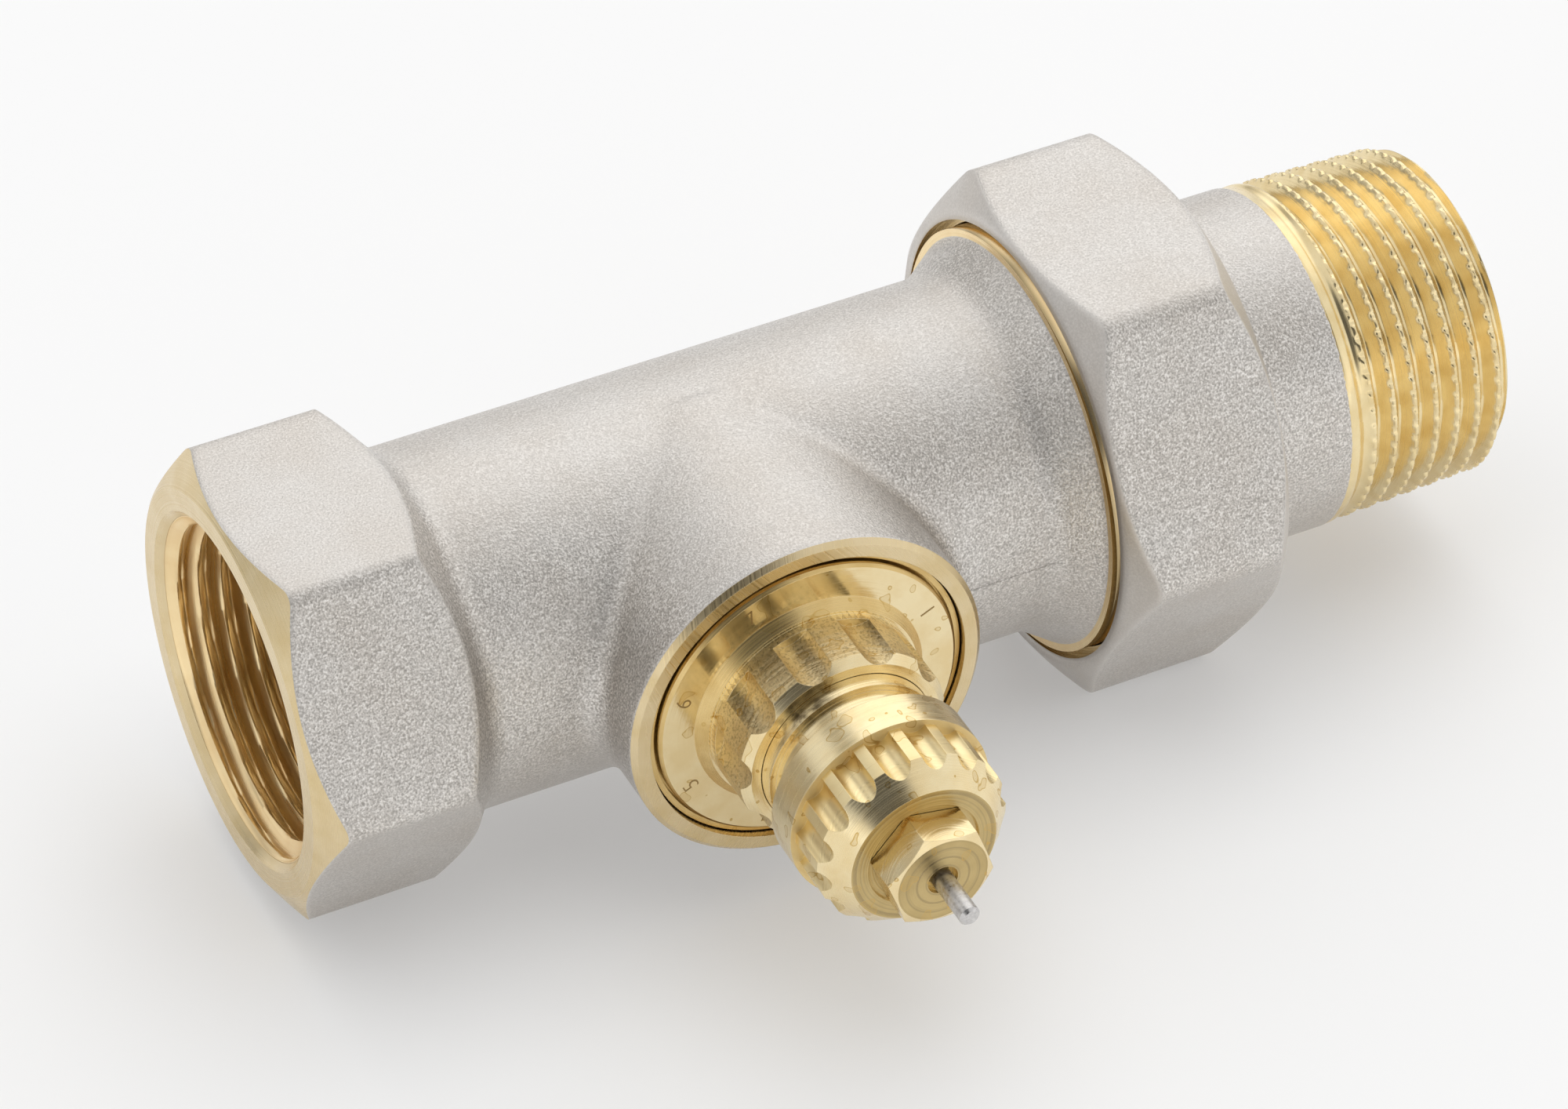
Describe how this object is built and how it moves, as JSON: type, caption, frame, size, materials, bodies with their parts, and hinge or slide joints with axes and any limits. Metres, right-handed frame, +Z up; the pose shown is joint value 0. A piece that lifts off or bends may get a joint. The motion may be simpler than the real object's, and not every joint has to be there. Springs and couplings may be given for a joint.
{
  "type": "thermostatic radiator valve body",
  "caption": "Straight radiator valve body with threaded hexagon inlet, side branch with presetting insert and push pin, and a union nut with threaded tailpiece.",
  "frame": {"origin": "middle of the inlet face, on the flow axis", "axes": "+X along the flow from inlet to outlet, the valve insert points along -Y, +Z up with a flat of each hexagon on top"},
  "size_m": [0.1262, 0.0824, 0.046],
  "materials": {
    "plated_brass": "nickel-plated and blasted, machined faces bare",
    "brass": "turned",
    "steel": "ground",
    "rubber": "matt",
    "plastic": "matt"
  },
  "bodies": {
    "valve": {"valve_body": "plated_brass", "insert_bush": "brass", "bush_o_ring": "rubber"},
    "presetting": {"setting_ring": "brass", "insert_barrel": "brass", "barrel_o_ring": "rubber", "throttle_sleeve": "brass", "throttle_clip": "steel", "gland_nut": "brass", "gland_outer_o_ring": "rubber", "pin_o_ring": "rubber", "pin_guide": "plastic", "spring_seat": "brass", "seat_clip": "steel", "return_spring": "steel"},
    "push_pin": {"pressure_pin": "steel", "spindle": "steel", "spring_cap": "brass", "spindle_clip": "steel", "disc_holder": "brass", "valve_disc": "rubber", "disc_washer": "brass", "disc_nut": "brass"},
    "tail": {"tailpiece": "plated_brass"},
    "nut": {"union_nut": "plated_brass"}
  },
  "joints": [
    {"name": "presetting_turn", "type": "hinge", "parent": "valve", "child": "presetting", "pos_m": [0.0472, 0, 0], "axis": [0, -1, 0], "range_deg": [0, 315]},
    {"name": "pin_press", "type": "slide", "parent": "presetting", "child": "push_pin", "axis": [0, 1, 0], "range_m": [0, 0.0024], "stiffness_N_per_m": 4000, "deforming": ["return_spring"]},
    {"name": "tail_slide", "type": "slide", "parent": "valve", "child": "tail", "axis": [1, 0, 0], "range_m": [0, 0.00751]},
    {"name": "union_turn", "type": "hinge", "parent": "tail", "child": "nut", "pos_m": [0.0894, 0, 0], "axis": [1, 0, 0], "range_deg": [0, 1170]}
  ],
  "couplings": [
    {"joint": "tail_slide", "follows": "union_turn", "m_per_rad": 0.00036749}
  ]
}
